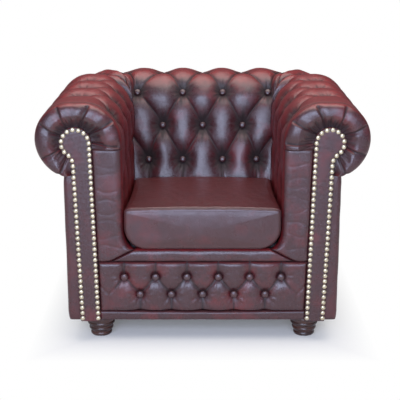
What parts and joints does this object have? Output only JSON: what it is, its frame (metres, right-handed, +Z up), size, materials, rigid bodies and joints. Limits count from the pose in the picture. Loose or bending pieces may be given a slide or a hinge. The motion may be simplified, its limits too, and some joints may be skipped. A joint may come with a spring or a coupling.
{
  "type": "chesterfield armchair",
  "caption": "Low rolled-arm armchair, arms level with the back, diamond tufted in glossy leather, nailed scroll fronts, loose seat cushion on turned bun feet.",
  "frame": {"origin": "on the floor under the middle of the chair", "axes": "+Z up, the chair faces -Y, +X to its left as one sits in it"},
  "size_m": [1.048, 0.8956, 0.785],
  "materials": {
    "button_leather": "covered buttons, oxblood",
    "cushion_leather": "antique oxblood, glossy",
    "filling": "foam and felt",
    "foot_wood": "dark stained and lacquered hardwood",
    "frame_wood": "planed beech and ply",
    "glide": "hard plastic glides",
    "leather": "antique oxblood, glossy, mottled",
    "lining": "plain black lining cloth",
    "nails": "antique brass domes",
    "spring_steel": "drawn steel wire",
    "tufted_leather": "antique oxblood, glossy, rubbed darker in the folds",
    "webbing": "woven elastic webbing"
  },
  "bodies": {
    "chair": {"apron_buttons": "button_leather", "back_buttons": "button_leather", "back_feet": "foot_wood", "back_foam": "filling", "back_tack_rail": "frame_wood", "back_top_rail": "frame_wood", "back_tufting": "tufted_leather", "back_webbing": "webbing", "bottom_band": "leather", "deck_cover": "lining", "deck_felt": "filling", "dust_cover": "lining", "foot_bolts": "spring_steel", "foot_glides": "glide", "frame_back_posts": "frame_wood", "frame_back_rail": "frame_wood", "frame_corner_blocks": "frame_wood", "frame_front_posts": "frame_wood", "frame_front_rail": "frame_wood", "frame_left_rail": "frame_wood", "frame_rear_posts": "frame_wood", "frame_right_rail": "frame_wood", "frame_spring_rail": "frame_wood", "front_apron": "leather", "front_feet": "foot_wood", "front_lip": "leather", "left_arm_buttons": "button_leather", "left_arm_foam": "filling", "left_arm_tack_rail": "frame_wood", "left_arm_top_rail": "frame_wood", "left_arm_tufting": "tufted_leather", "left_facing": "leather", "left_front_border": "leather", "left_nails": "nails", "left_outside_cover": "leather", "left_scroll_board": "frame_wood", "left_scroll_front": "leather", "outside_back_cover": "leather", "right_arm_buttons": "button_leather", "right_arm_foam": "filling", "right_arm_tack_rail": "frame_wood", "right_arm_top_rail": "frame_wood", "right_arm_tufting": "tufted_leather", "right_facing": "leather", "right_front_border": "leather", "right_nails": "nails", "right_outside_cover": "leather", "right_scroll_board": "frame_wood", "right_scroll_front": "leather", "seat_springs": "spring_steel"},
    "seat_cushion": {"cushion_cover": "cushion_leather", "cushion_foam": "filling"}
  },
  "joints": [
    {"name": "cushion_lift", "type": "slide", "parent": "chair", "child": "seat_cushion", "axis": [0, 0, 1], "range_m": [0, 0.5]}
  ]
}
